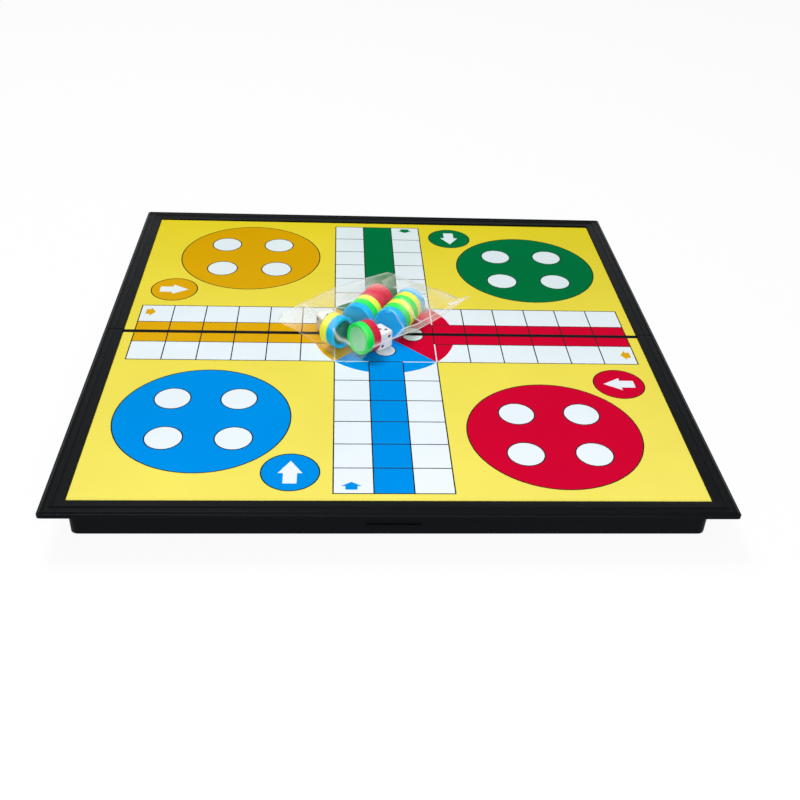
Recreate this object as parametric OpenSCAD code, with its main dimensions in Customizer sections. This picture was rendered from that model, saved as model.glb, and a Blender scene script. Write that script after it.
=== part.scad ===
// Folding ludo board box: two shallow trays hinged along their rims.
// Open, the trays stand side by side with the printed decks up.
// Folded, the rear tray swings under the front one and the two hollows meet as a box.
// X runs along the hinge, Y from the front edge to the rear edge, Z up.
// The origin is under the middle of the board, on the surface that it stands on.

/* [Board] */
// Overall width over the rails, along the hinge
board_w = 320; // [240:1:420]
// Depth of one tray from its seam face to its outer rail edge
tray_d = 161.2; // [120:0.5:210]
// Gap between the two seam faces when the board lies open
seam_gap = 0.6; // [0.4:0.1:1.2]
// Height of the printed face above the tray rim
tray_h = 18.85; // [17:0.05:30]

/* [Rails] */
// Width of the raised rail around the print
rail_w = 10.8; // [9:0.1:14]
// How far the rail overhangs the wall under it
rail_overhang = 10.2; // [9:0.1:10.2]
// Thickness of the rail below the printed face
rail_drop = 1.1; // [0.8:0.1:2]
// Height of the rail's flat above the printed face
rail_rise = 1.4; // [1:0.1:2]
// Height of the two ridges that run along the rail
ridge_h = 0.7; // [0.3:0.1:1.2]
// Half the width of one ridge
ridge_half_w = 1.2; // [0.8:0.1:1.4]
// Radius of the rail's outer corners
corner_r = 2.2; // [1:0.1:4]
// Width of the narrow rim along the seam
seam_rim_w = 1.2; // [0.9:0.1:2]
// Height of the seam rim above the printed face
seam_rim_rise = 0.2; // [0.1:0.05:0.4]

/* [Walls] */
// Thickness of the side walls
wall_t = 2; // [1.6:0.1:2.4]
// Thickness of the deck under the sheets
deck_t = 1.6; // [1.2:0.1:3]
// Radius of the tray's outer wall corners
wall_corner_r = 4; // [2.5:0.5:8]

/* [Sheets] */
// Thickness of the steel sheet that holds the magnets
steel_t = 0.35; // [0.3:0.05:0.8]
// Thickness of the printed sheet on top of it
print_t = 0.25; // [0.2:0.05:0.6]
// Gap between a sheet's edge and the recess that it lies in
sheet_gap = 0.15; // [0.05:0.05:0.3]

/* [Hinges] */
// Distance of each hinge's middle from the rail's side edge
hinge_inset = 60; // [54:1:85]
// Radius of the hinge knuckles
knuckle_r = 2; // [1.8:0.1:2.4]
// Length of one knuckle
knuckle_w = 10; // [6:0.5:14]
// Number of knuckles in one hinge, the odd ones on the front tray
knuckle_n = 5; // [3:2:7]
// Gap between knuckles, and around them in the other tray
knuckle_gap = 0.3; // [0.2:0.05:0.5]
// Radius of the hinge pins
pin_r = 0.8; // [0.5:0.05:1]
// Running clearance around every pin, on the radius
pin_gap = 0.05; // [0.02:0.01:0.1]

/* [Feet] */
// Height of the rims above the axis of the hinge
rim_gap = 0.15; // [0.1:0.05:0.3]
// Width of a foot along its wall
foot_w = 12; // [8:1:16]
// Thickness of a foot
foot_t = 2; // [1.4:0.1:3]
// Height of a foot's root up its wall
foot_root_h = 6; // [4:0.5:8]
// Clearance of a foot inside the other tray's wall when folded
foot_gap = 0.3; // [0.2:0.05:0.5]
// Distance of the front tray's outer feet from the rail's side edge
front_foot_inset = 50; // [30:1:60]
// Distance of the rear tray's outer feet from the rail's side edge
rear_foot_inset = 90; // [80:1:100]
// Distances of the front tray's side feet from the seam
front_feet_y = [40, 118];
// Distances of the rear tray's side feet from the seam
rear_feet_y = [62, 138];

/* [Latch] */
// Width of the latch flap
latch_w = 30; // [20:1:44]
// Length of the latch flap from its pivot
latch_len = 11; // [10:0.5:12]
// Thickness of the latch flap
latch_t = 1.6; // [1.2:0.1:2]
// Height of the latch pivot above the rim plane
latch_pivot_h = 3; // [2.5:0.5:4]
// Radius of the latch barrel
latch_barrel_r = 1.5; // [1.3:0.1:1.7]
// Radius of the latch pin
latch_pin_r = 0.6; // [0.4:0.05:0.7]
// Width of each lug that holds the latch pin
lug_w = 3; // [2:0.5:5]
// Clearance between the latch and what it turns past
latch_gap = 0.3; // [0.2:0.05:0.4]
// How far the latch hook and the catch ridge stand out
hook_h = 0.7; // [0.6:0.05:0.8]
// Height of the hook and of the catch ridge along the wall
hook_w = 1.5; // [1:0.1:2]

/* [Counters and dice] */
// Diameter of a counter
counter_dia = 18.4; // [14:0.2:18.8]
// Thickness of a counter
counter_t = 5; // [4:0.1:5.2]
// Width of a counter's raised rim
counter_rim_w = 1.7; // [1:0.1:2.5]
// Depth of the dish in a counter's face
counter_dish = 0.6; // [0.3:0.1:0.9]
// Depth of the hollow in a counter's back
counter_hollow = 1.4; // [0.8:0.1:1.6]
// Diameter of a counter's magnet
magnet_dia = 8; // [5:0.5:10]
// Thickness of a counter's magnet
magnet_t = 1.4; // [1:0.1:1.6]
// Edge length of a die
die_size = 11; // [8:0.5:11.5]
// Diameter of a die's pips
pip_dia = 1.8; // [1:0.1:2]
// Depth of a die's pips
pip_depth = 0.4; // [0.2:0.1:0.6]

/* [Bag] */
// Thickness of the bag's wall
bag_t = 0.5; // [0.4:0.1:1]
// Clearance of the bag over the seam rim
bag_gap = 0.2; // [0.1:0.05:0.3]
// Clearance between the bag and what lies in it
bag_slack = 0.4; // [0.2:0.1:1]
// Height of the bag's flat margin
bag_margin_h = 1.6; // [1.4:0.1:3]

/* [Hidden] */

black = "#17191d";
steel = "#b9bdc2";
paper = "#ead95c";
overlap = 0.1; // how far joined solids run into each other
past = 1; // how far a cut runs past the face that it opens

// Heights, from the surface that the open board stands on
hinge_z = knuckle_r;
rim_z = hinge_z + rim_gap;
print_z = rim_z + tray_h;
deck_top_z = print_z - print_t - steel_t;

// Plan of one tray, drawn with its seam face at y = seam_gap / 2 and its outer edge on +Y
seam_y = seam_gap / 2;
edge_x = board_w / 2;
edge_y = seam_y + tray_d;
sheet_x = edge_x - rail_w;
sheet_y0 = seam_y + seam_rim_w;
sheet_y1 = edge_y - rail_w;
wall_x = edge_x - rail_overhang;
wall_y = edge_y - rail_overhang;

// Rail section: distance out from the sheet against height over the printed face
rail_root = print_t + steel_t + deck_t / 2;
rail_flat = 3.2;
ridge_1 = 0.48 * rail_w;
ridge_2 = 0.82 * rail_w;
rail_dip = 0.3;
edge_r = 0.8;
rail_step = 0.35;
rail_end = rail_w - edge_r;
function ridge(d, at) = abs(d - at) < ridge_half_w ?
    ridge_h * (1 + cos(180 * (d - at) / ridge_half_w)) / 2 : 0;
function rail_top(d) = rail_rise - rail_dip * (d - rail_flat) / (rail_end - rail_flat)
    + ridge(d, ridge_1) + ridge(d, ridge_2);
rail_section = concat(
    [[sheet_gap, -rail_root], [sheet_gap, 0.65 * rail_rise], [0.6, 0.85 * rail_rise]],
    [for (d = [rail_flat : rail_step : rail_end - rail_step / 2]) [d, rail_top(d)]],
    [for (a = [90 : -22.5 : 0])
        [rail_end + edge_r * cos(a), rail_top(rail_end) - edge_r + edge_r * sin(a)]],
    [[rail_w, 0.3 - rail_drop], [rail_w - 0.6, -rail_drop], [0.4, -rail_drop], [0.4, -rail_root]]);

// Hinge
hinge_x = edge_x - hinge_inset;
knuckle_pitch = knuckle_w + knuckle_gap;
hinge_w = knuckle_n * knuckle_pitch - knuckle_gap;
pin_inset = 1;

// Latch, on the rear tray's outer wall
latch_y = wall_y + latch_barrel_r + latch_gap;
latch_z = rim_z + latch_pivot_h - rim_gap;
catch_z = 2 * hinge_z - latch_z + latch_len - hook_w - latch_gap - hook_w;
lug_r = latch_barrel_r + latch_gap;

// Heap of counters: middle [x, y, height over the bag's floor], direction of the face, its
// tilt up, and whether the hollow back is the side that faces that way
counter_r = counter_dia / 2;
step = counter_t + 0.12; // distance between the middles of stacked counters
function facing(turn, tilt) = [cos(turn) * cos(tilt), sin(turn) * cos(tilt), sin(tilt)];
function stacked(start, turn, tilt, i) = start + i * step * facing(turn, tilt);
stand_h = counter_r + 0.15; // height of the middle of a counter that stands on its edge
stack_turn = 62; // both stacks of six lie on their edges, side by side
left_stack = [-15.2, 0.1, stand_h];
right_stack = [3.4, -4.3, stand_h];
pair_tilt = 4;
front_turn = 220;
front_pair = [-14.2, -22.9, stand_h + 0.5];
side_turn = 315;
side_pair = [-25.4, -16.4, stand_h + 0.6];
function in_stack(start, i, back) = [stacked(start, stack_turn, 0, i), stack_turn, 0, back];
function in_pair(start, turn, i, back) = [stacked(start, turn, pair_tilt, i), turn, pair_tilt, back];
red_heap = [in_stack(left_stack, 3, 0), in_stack(left_stack, 4, 0), in_stack(left_stack, 5, 1),
    in_pair(front_pair, front_turn, -1, 0)];
yellow_heap = [in_stack(left_stack, 2, 0), in_stack(right_stack, 2, 0), in_stack(right_stack, 4, 0),
    in_pair(side_pair, side_turn, -1, 0)];
green_heap = [in_stack(left_stack, 1, 0), in_stack(right_stack, 1, 0), in_stack(right_stack, 3, 0),
    in_pair(front_pair, front_turn, 0, 0)];
blue_heap = [in_stack(left_stack, 0, 1), in_stack(right_stack, 0, 1), in_stack(right_stack, 5, 1),
    in_pair(side_pair, side_turn, 0, 1)];
heap = concat(red_heap, yellow_heap, green_heap, blue_heap);

// Dice: middle and turn about the upright
die_h = die_size / 2 + 0.1;
dice_places = [[[-32.5, 1, die_h], 25], [[-3.3, -14.7, die_h], -50]];
pip_spread = 0.25 * die_size;
pips_of = [[[0, 0]], [[-1, -1], [1, 1]], [[-1, -1], [0, 0], [1, 1]],
    [[-1, -1], [-1, 1], [1, -1], [1, 1]], [[-1, -1], [-1, 1], [0, 0], [1, -1], [1, 1]],
    [[-1, -1], [-1, 0], [-1, 1], [1, -1], [1, 0], [1, 1]]];
// Turn that brings the top face to each of the six faces, opposite faces adding up to seven
die_faces = [[0, 0, 0], [90, 0, 0], [0, 90, 0], [0, -90, 0], [-90, 0, 0], [180, 0, 0]];

// Bag: its flat outline, and the raised tip of its mouth
bag_z = print_z + seam_rim_rise + bag_gap;
heap_z = bag_z + bag_t;
bag_outline = [[-62, 10], [-48, 22], [5, 54], [36, 33], [49, 15], [20, -9], [-7, -27], [-17, -33],
    [-28, -25]];
bag_tip = [47, 15, 12];

// One counter's body on +Z, face up, round its own middle
module counter_body() {
    dish_r = counter_r - counter_rim_w;
    bevel = 0.35;
    difference() {
        rotate_extrude($fn = 64)
            polygon([[0, -counter_t / 2 + counter_hollow], [dish_r, -counter_t / 2 + counter_hollow],
                [dish_r, -counter_t / 2], [counter_r - bevel, -counter_t / 2],
                [counter_r, -counter_t / 2 + bevel], [counter_r, counter_t / 2 - bevel],
                [counter_r - bevel, counter_t / 2], [dish_r + bevel, counter_t / 2],
                [dish_r, counter_t / 2 - counter_dish], [0, counter_t / 2 - counter_dish]]);
        translate([0, 0, -counter_t / 2])
            cylinder(r = magnet_dia / 2 + sheet_gap / 2, h = counter_hollow + magnet_t, $fn = 48);
    }
}

// Puts a child drawn on +Z, face up, at one place of the heap
module heaped(place) {
    translate([0, 0, heap_z] + place[0])
        rotate([0, 90 - place[2], place[1]])
            rotate([place[3] * 180, 0, 0])
                children();
}

module counters(places) {
    for (place = places) heaped(place) counter_body();
}

module counters_red() {
    color("#c8102e") counters(red_heap);
}

module counters_yellow() {
    color("#f4ec3c") counters(yellow_heap);
}

module counters_green() {
    color("#19c83c") counters(green_heap);
}

module counters_blue() {
    color("#108fe0") counters(blue_heap);
}

// Magnets, each pressed to the bottom of its counter's pocket
module counter_magnets() {
    color("#3a3733")
        for (place = heap) heaped(place)
            translate([0, 0, -counter_t / 2 + counter_hollow])
                cylinder(r = magnet_dia / 2, h = magnet_t, $fn = 48);
}

module die_body() {
    difference() {
        intersection() {
            cube(die_size, center = true);
            sphere(r = 0.735 * die_size, $fn = 64);
        }
        for (i = [0 : 5]) rotate(die_faces[i])
            for (p = pips_of[i])
                translate([p[0] * pip_spread, p[1] * pip_spread, die_size / 2 - pip_depth])
                    cylinder(r = pip_dia / 2, h = pip_depth + past, $fn = 20);
    }
}

module dice() {
    color("#f2f2f0")
        for (place = dice_places)
            translate([0, 0, heap_z] + place[0]) rotate(place[1]) die_body();
}

// Space that the heap takes up, with a margin all round, and the flat bag around it
module bag_space(margin, rise) {
    hull() {
        for (place = heap) heaped(place)
            cylinder(r = counter_r + margin, h = counter_t + 2 * margin, center = true, $fn = 24);
        for (place = dice_places)
            translate([0, 0, heap_z] + place[0]) rotate(place[1])
                cube(die_size + 2 * margin, center = true);
        translate([0, 0, bag_z + rise]) linear_extrude(bag_margin_h - 2 * rise)
            offset(delta = -2 * rise) polygon(bag_outline);
        translate([0, 0, bag_z] + bag_tip) sphere(r = 1.5 * margin, $fn = 16);
    }
}

// Closed film bag: a thin shell with a flat underside
module piece_bag() {
    floor_size = 2 * edge_x;
    color("#dfe8ec", 0.4)
        difference() {
            intersection() {
                bag_space(bag_slack + bag_t, 0);
                translate([-edge_x, -edge_x, bag_z]) cube(floor_size);
            }
            intersection() {
                bag_space(bag_slack, bag_t);
                translate([-edge_x, -edge_x, heap_z]) cube(floor_size);
            }
        }
}

// Rectangle from the seam side to y1, with its two outer corners rounded
module tray_plan(x, y0, y1, r) {
    translate([-x, y0]) square([2 * x, y1 - r - y0]);
    translate([r - x, y0]) square([2 * (x - r), y1 - y0]);
    for (side = [-1, 1]) translate([side * (x - r), y1 - r]) circle(r = r, $fn = 64);
}

// Moulded rail on three sides, mitred at the two outer corners
module rails() {
    reach = edge_x + past;
    inner = sheet_x - past;
    shift = edge_y - edge_x;
    intersection() {
        union() {
            intersection() {
                translate([-reach, sheet_y1, print_z]) rotate([90, 0, 90])
                    linear_extrude(2 * reach) polygon(rail_section);
                linear_extrude(2 * print_z)
                    polygon([[-inner, inner + shift], [inner, inner + shift],
                        [reach, reach + shift], [-reach, reach + shift]]);
            }
            for (side = [0, 1]) mirror([side, 0, 0])
                intersection() {
                    translate([sheet_x, edge_y + past, print_z]) rotate([90, 0, 0])
                        linear_extrude(tray_d + past) polygon(rail_section);
                    linear_extrude(2 * print_z)
                        polygon([[inner, seam_y], [reach, seam_y],
                            [reach, reach + shift], [inner, inner + shift]]);
                }
        }
        linear_extrude(2 * print_z) tray_plan(edge_x, seam_y, edge_y, corner_r);
    }
}

// Walls and deck, open below
module tray_box() {
    difference() {
        translate([0, 0, rim_z]) linear_extrude(deck_top_z - rim_z)
            tray_plan(wall_x, seam_y, wall_y, wall_corner_r);
        translate([0, 0, rim_z - past]) linear_extrude(deck_top_z - deck_t - rim_z + past)
            tray_plan(wall_x - wall_t, seam_y + wall_t, wall_y - wall_t, wall_corner_r - wall_t);
    }
}

// Foot on the inner face of a wall: the face is at x = 0 and the foot grows to -X
module foot() {
    root_z = rim_z + knuckle_gap;
    tip = 0.5;
    rotate([90, 0, 0]) translate([0, 0, -foot_w / 2]) linear_extrude(foot_w)
        polygon([[-foot_gap - foot_t + tip, 0], [-foot_gap - tip, 0], [-foot_gap, tip],
            [-foot_gap, root_z], [overlap, root_z], [overlap, rim_z + foot_root_h],
            [-foot_gap, rim_z + foot_root_h], [-foot_gap - foot_t, rim_z + foot_root_h - foot_t],
            [-foot_gap - foot_t, tip]]);
}

module feet(outer_x, side_y) {
    for (side = [-1, 1])
        translate([side * outer_x, wall_y - wall_t, 0]) rotate(90) foot();
    for (y = side_y) {
        translate([wall_x - wall_t, y, 0]) foot();
        translate([wall_t - wall_x, y, 0]) rotate(180) foot();
    }
}

// Cylinders along the hinge axis at every second knuckle, starting with the given one
module knuckle_row(first, r, extra) {
    for (side = [-1, 1], i = [first : 2 : knuckle_n - 1])
        translate([side * hinge_x - hinge_w / 2 + i * knuckle_pitch - extra, 0, hinge_z])
            rotate([0, 90, 0]) cylinder(r = r, h = knuckle_w + 2 * extra, $fn = 48);
}

// One tray without its latch parts: own knuckles start at the given one
module tray(first, foot_x, feet_y) {
    difference() {
        union() {
            tray_box();
            rails();
            translate([-sheet_x - overlap - sheet_gap, seam_y, print_z - rail_root])
                cube([2 * (sheet_x + sheet_gap + overlap), seam_rim_w - sheet_gap,
                    rail_root + seam_rim_rise]);
            knuckle_row(first, knuckle_r, 0);
            feet(foot_x, feet_y);
        }
        knuckle_row(1 - first, knuckle_r + knuckle_gap, knuckle_gap);
        knuckle_row(first, pin_r + pin_gap, knuckle_gap / 2);
    }
}

module front_tray() {
    color(black) mirror([0, 1, 0]) {
        tray(0, edge_x - front_foot_inset, front_feet_y);
        // Catch ridge that the latch hook grips behind
        translate([-latch_w / 2 + 2, wall_y - overlap, catch_z])
            cube([latch_w - 4, hook_h + overlap, hook_w]);
    }
}

module rear_tray() {
    color(black) {
        tray(1, edge_x - rear_foot_inset, rear_feet_y);
        for (side = [-1, 1])
            difference() {
                translate([side * (latch_w / 2 + latch_gap + lug_w / 2) - lug_w / 2, 0, 0])
                    union() {
                        translate([0, latch_y, latch_z]) rotate([0, 90, 0])
                            cylinder(r = lug_r, h = lug_w, $fn = 48);
                        translate([0, wall_y - overlap, latch_z - lug_r])
                            cube([lug_w, latch_y - wall_y + overlap, 2 * lug_r]);
                    }
                translate([-edge_x, latch_y, latch_z]) rotate([0, 90, 0])
                    cylinder(r = latch_pin_r + pin_gap, h = 2 * edge_x, $fn = 32);
            }
    }
}

// Sheet in the recess of one tray, drawn for the rear tray
module sheet(z, thickness) {
    translate([-sheet_x, sheet_y0, z])
        cube([2 * sheet_x, sheet_y1 - sheet_y0, thickness]);
}

module front_steel_sheet() {
    color(steel) mirror([0, 1, 0]) sheet(deck_top_z, steel_t);
}

module rear_steel_sheet() {
    color(steel) sheet(deck_top_z, steel_t);
}

module front_printed_sheet() {
    color(paper) mirror([0, 1, 0]) sheet(print_z - print_t, print_t);
}

module rear_printed_sheet() {
    color(paper) sheet(print_z - print_t, print_t);
}

module hinge_pin(side) {
    translate([side * hinge_x - hinge_w / 2 + pin_inset, 0, hinge_z]) rotate([0, 90, 0])
        cylinder(r = pin_r, h = hinge_w - 2 * pin_inset, $fn = 32);
}

module hinge_pin_left() {
    color(steel) hinge_pin(-1);
}

module hinge_pin_right() {
    color(steel) hinge_pin(1);
}

// Flap, stowed upwards under the rear rail
module latch_flap() {
    color(black)
        difference() {
            translate([-latch_w / 2, latch_y, latch_z]) union() {
                rotate([0, 90, 0]) cylinder(r = latch_barrel_r, h = latch_w, $fn = 48);
                translate([0, -latch_t / 2, 0]) cube([latch_w, latch_t, latch_len]);
                translate([0, 0, latch_len - hook_w])
                    cube([latch_w, latch_t / 2 + hook_h, hook_w]);
            }
            translate([-edge_x, latch_y, latch_z]) rotate([0, 90, 0])
                cylinder(r = latch_pin_r + pin_gap, h = 2 * edge_x, $fn = 32);
        }
}

module latch_pin() {
    span = latch_w + 2 * (latch_gap + lug_w);
    color(steel) translate([-span / 2, latch_y, latch_z]) rotate([0, 90, 0])
        cylinder(r = latch_pin_r, h = span, $fn = 32);
}

front_tray();
rear_tray();
front_steel_sheet();
rear_steel_sheet();
front_printed_sheet();
rear_printed_sheet();
hinge_pin_left();
hinge_pin_right();
latch_flap();
latch_pin();
counters_red();
counters_yellow();
counters_green();
counters_blue();
counter_magnets();
dice();
piece_bag();
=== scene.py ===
"""Looks of a folding ludo board: printed decks, moulded rails, and a film bag of counters and dice."""

import logging
import math
from collections.abc import Callable, Mapping, Sequence
from dataclasses import dataclass, field
from enum import IntEnum

import bmesh
import bpy
import numpy as np
from mathutils import Matrix, Vector
from mathutils.geometry import delaunay_2d_cdt
from numpy.typing import NDArray


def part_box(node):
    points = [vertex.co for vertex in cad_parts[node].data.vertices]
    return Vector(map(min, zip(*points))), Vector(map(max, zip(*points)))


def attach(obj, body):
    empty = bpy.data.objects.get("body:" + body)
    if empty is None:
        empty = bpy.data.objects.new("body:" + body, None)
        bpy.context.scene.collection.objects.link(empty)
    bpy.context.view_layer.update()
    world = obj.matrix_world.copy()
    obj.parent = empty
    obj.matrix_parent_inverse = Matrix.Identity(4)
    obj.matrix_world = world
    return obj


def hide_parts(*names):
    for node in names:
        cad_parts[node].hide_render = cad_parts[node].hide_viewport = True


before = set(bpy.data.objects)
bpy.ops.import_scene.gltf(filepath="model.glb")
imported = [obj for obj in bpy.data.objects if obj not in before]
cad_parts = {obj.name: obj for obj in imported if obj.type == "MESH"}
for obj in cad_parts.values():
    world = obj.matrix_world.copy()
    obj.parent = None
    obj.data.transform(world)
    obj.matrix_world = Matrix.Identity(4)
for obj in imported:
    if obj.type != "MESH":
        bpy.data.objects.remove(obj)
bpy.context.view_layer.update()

LOG = logging.getLogger("ludo_board")
MM = 0.001
Floats = NDArray[np.float64]
Ints = NDArray[np.int64]
Colour = tuple[float, float, float, float]
WHITE: Colour = (1.0, 1.0, 1.0, 1.0)


def srgb(red: int, green: int, blue: int) -> Colour:
    """Turns a display colour into the linear colour that a shader takes.

    Args:
        red: Red from 0 to 255.
        green: Green from 0 to 255.
        blue: Blue from 0 to 255.

    Returns:
        Linear red, green, blue and a full alpha.
    """
    share = np.array([red, green, blue]) / 255
    linear = np.where(share <= 0.04045, share / 12.92, ((share + 0.055) / 1.055) ** 2.4)
    return (float(linear[0]), float(linear[1]), float(linear[2]), 1.0)


class NodeBench:
    """The node tree of a material or a world, with short calls to add and join nodes."""

    def __init__(self, name: str, world: bool = False) -> None:
        """Starts an empty node tree with its output."""
        self.owner = (bpy.data.worlds if world else bpy.data.materials).new(name)
        self.owner.use_nodes = True
        self.tree = self.owner.node_tree
        self.tree.nodes.clear()
        self.output = self.add("OutputWorld" if world else "OutputMaterial")

    def add(
        self, kind: str, inputs: Mapping[str | int, object] | None = None, **settings: object
    ) -> bpy.types.Node:
        """Adds a node, sets its properties and feeds its inputs.

        Args:
            kind: The node's type without its ShaderNode prefix.
            inputs: Socket or plain value for an input, by the input's name or number.
            **settings: Properties of the node itself.

        Returns:
            The new node.
        """
        node = self.tree.nodes.new("ShaderNode" + kind)
        for key, value in settings.items():
            setattr(node, key, value)
        for key, source in (inputs or {}).items():
            if isinstance(source, bpy.types.NodeSocket):
                self.tree.links.new(source, node.inputs[key])
            else:
                node.inputs[key].default_value = source
        return node

    def close(self, surface: bpy.types.NodeSocket) -> bpy.types.Material | bpy.types.World:
        """Joins the finished shader to the output, and gives the material or world."""
        self.tree.links.new(surface, self.output.inputs["Surface"])
        return self.owner

    def place(self) -> bpy.types.NodeSocket:
        """Gives the position on the piece, in metres."""
        return self.add("TexCoord").outputs["Object"]

    def attribute(self, name: str) -> bpy.types.NodeSocket:
        """Reads a number that the mesh carries."""
        return self.add("Attribute", attribute_name=name).outputs["Fac"]

    def noise(self, size: float, detail: float = 2.0) -> bpy.types.NodeSocket:
        """Adds noise around one half, whose features are about one size in metres across."""
        inputs = {"Scale": 1 / size, "Detail": detail, "Vector": self.place()}
        return self.add("TexNoise", inputs).outputs["Fac"]

    def maths(self, operation: str, one: object, other: object) -> bpy.types.NodeSocket:
        """Puts two sockets or numbers through one operation."""
        return self.add("Math", {0: one, 1: other}, operation=operation).outputs["Value"]

    def ramp(
        self,
        value: bpy.types.NodeSocket,
        start: tuple[float, float],
        end: tuple[float, float] = (0.0, 1.0),
        smooth: bool = False,
    ) -> bpy.types.NodeSocket:
        """Maps a value from one range onto another, and holds it at the ends.

        Args:
            value: The socket to map.
            start: The range that the value has.
            end: The range that the result has.
            smooth: Whether the slope eases in and out.

        Returns:
            The mapped value.
        """
        inputs = {"Value": value, "From Min": start[0], "From Max": start[1]}
        inputs |= {"To Min": end[0], "To Max": end[1]}
        kind = "SMOOTHSTEP" if smooth else "LINEAR"
        return self.add("MapRange", inputs, interpolation_type=kind).outputs["Result"]

    def spread(self, value: bpy.types.NodeSocket, low: float, high: float) -> bpy.types.NodeSocket:
        """Maps noise from its usual 0.3 to 0.7 onto a range."""
        return self.ramp(value, (0.3, 0.7), (low, high))

    def bump(self, height: bpy.types.NodeSocket, depth: float, strength: float) -> bpy.types.NodeSocket:
        """Adds a bump.

        Args:
            height: Height from 0 to 1.
            depth: Real depth of the bump in metres.
            strength: Share of the bump that shows.

        Returns:
            The bumped normal.
        """
        inputs = {"Height": height, "Distance": depth, "Strength": strength}
        return self.add("Bump", inputs).outputs["Normal"]

    def tint(self, share: bpy.types.NodeSocket, one: object, other: object) -> bpy.types.NodeSocket:
        """Blends two colours, which may be sockets, by the share of the second."""
        inputs = {"Factor": share, "A": one, "B": other}
        return self.add("Mix", inputs, data_type="RGBA").outputs["Result"]

    def blend(
        self, share: object, one: bpy.types.NodeSocket, other: bpy.types.NodeSocket
    ) -> bpy.types.NodeSocket:
        """Mixes two shaders by the share of the second."""
        return self.add("MixShader", {"Fac": share, 1: one, 2: other}).outputs["Shader"]

    def seen(self) -> bpy.types.NodeSocket:
        """Gives 1 to rays from the camera, from glossy surfaces and through clear ones, and else 0."""
        path = self.add("LightPath").outputs
        sharp = self.maths("MAXIMUM", path["Is Camera Ray"], path["Is Glossy Ray"])
        return self.maths("MAXIMUM", sharp, path["Is Transmission Ray"])


def scaled(colour: Sequence[float], share: float) -> Colour:
    """Makes a colour darker or lighter by one factor."""
    return (colour[0] * share, colour[1] * share, colour[2] * share, 1.0)


@dataclass(frozen=True)
class PlasticFinish:
    """Solid plastic: gloss with a fine mould texture and faint handling marks.

    Attributes:
        name: Name of the material.
        colour: Linear base colour.
        rough: Roughness of a clean surface.
        scuff: Roughness that handling adds in patches.
        grain: Size of the mould texture in metres.
        relief: Depth of the mould texture in metres.
        mottle: How far the colour varies.
        sheen: Specular level.
    """

    name: str
    colour: Colour
    rough: float = 0.3
    scuff: float = 0.08
    grain: float = 0.0006
    relief: float = 0.00002
    mottle: float = 0.05
    sheen: float = 0.5

    def material(self) -> bpy.types.Material:
        """Builds the node material."""
        bench = NodeBench(self.name)
        dark, light = scaled(self.colour, 1 - self.mottle), scaled(self.colour, 1 + self.mottle)
        shader = bench.add(
            "BsdfPrincipled",
            {
                "Base Color": bench.tint(bench.noise(0.018, 4.0), dark, light),
                "Roughness": bench.spread(bench.noise(0.006, 5.0), self.rough, self.rough + self.scuff),
                "Normal": bench.bump(bench.noise(self.grain), self.relief, 0.6),
                "Specular IOR Level": self.sheen,
            },
        )
        return bench.close(shader.outputs["BSDF"])


@dataclass(frozen=True)
class InkFinish:
    """One printed ink under a matt laminate, darker towards the rear edge: partly denser ink, partly painted
    light that is stronger at the front.

    Attributes:
        name: Name of the material.
        front: Linear colour at the front edge of the board: the ink, lightened by painted light.
        rear: Linear colour at the rear edge: the ink, with less painted light than at the front.
        rough: Roughness of the laminate.
        reach: Distance of both edges from the seam in metres.
    """

    name: str
    front: Colour
    rear: Colour
    rough: float = 0.34
    reach: float = 0.15

    def material(self) -> bpy.types.Material:
        """Builds the node material: ink density varies a little, and the laminate has a faint orange peel."""
        bench = NodeBench(self.name)
        back = bench.add("SeparateXYZ", {"Vector": bench.place()}).outputs["Y"]
        # Blend from front to rear: partly ink density, partly painted light that is stronger at the front
        # edge.
        plain = bench.tint(bench.ramp(back, (-self.reach, self.reach)), self.front, self.rear)
        grain = bench.maths("ADD", bench.noise(0.0007, 3.0), bench.noise(0.045, 2.0))
        density = bench.ramp(grain, (0.6, 1.4), (0.95, 1.05))
        inked = bench.add("VectorMath", {0: plain, "Scale": density}, operation="SCALE")
        shader = bench.add(
            "BsdfPrincipled",
            {
                "Base Color": inked.outputs["Vector"],
                "Roughness": bench.spread(bench.noise(0.02, 4.0), self.rough, self.rough + 0.06),
                "Normal": bench.bump(bench.noise(0.0016), 0.00002, 0.35),
                "Specular IOR Level": 0.0,
            },
        )
        return bench.close(shader.outputs["BSDF"])


@dataclass(frozen=True)
class MetalFinish:
    """Rolled or drawn steel with a fine lay along one axis.

    Attributes:
        name: Name of the material.
        colour: Linear colour of the metal.
        rough: Roughness.
        lay: Stretch of the texture along X, Y and Z.
    """

    name: str
    colour: Colour
    rough: float
    lay: tuple[float, float, float] = (0.04, 1.0, 1.0)

    def material(self) -> bpy.types.Material:
        """Builds the node material."""
        bench = NodeBench(self.name)
        drawn = bench.add("Mapping", {"Vector": bench.place(), "Scale": self.lay}).outputs["Vector"]
        lines = bench.add("TexNoise", {"Vector": drawn, "Scale": 2500.0}).outputs["Fac"]
        shader = bench.add(
            "BsdfPrincipled",
            {
                "Base Color": bench.tint(lines, scaled(self.colour, 0.85), scaled(self.colour, 1.1)),
                "Roughness": bench.spread(lines, self.rough, self.rough + 0.12),
                "Metallic": 1.0,
            },
        )
        return bench.close(shader.outputs["BSDF"])


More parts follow.
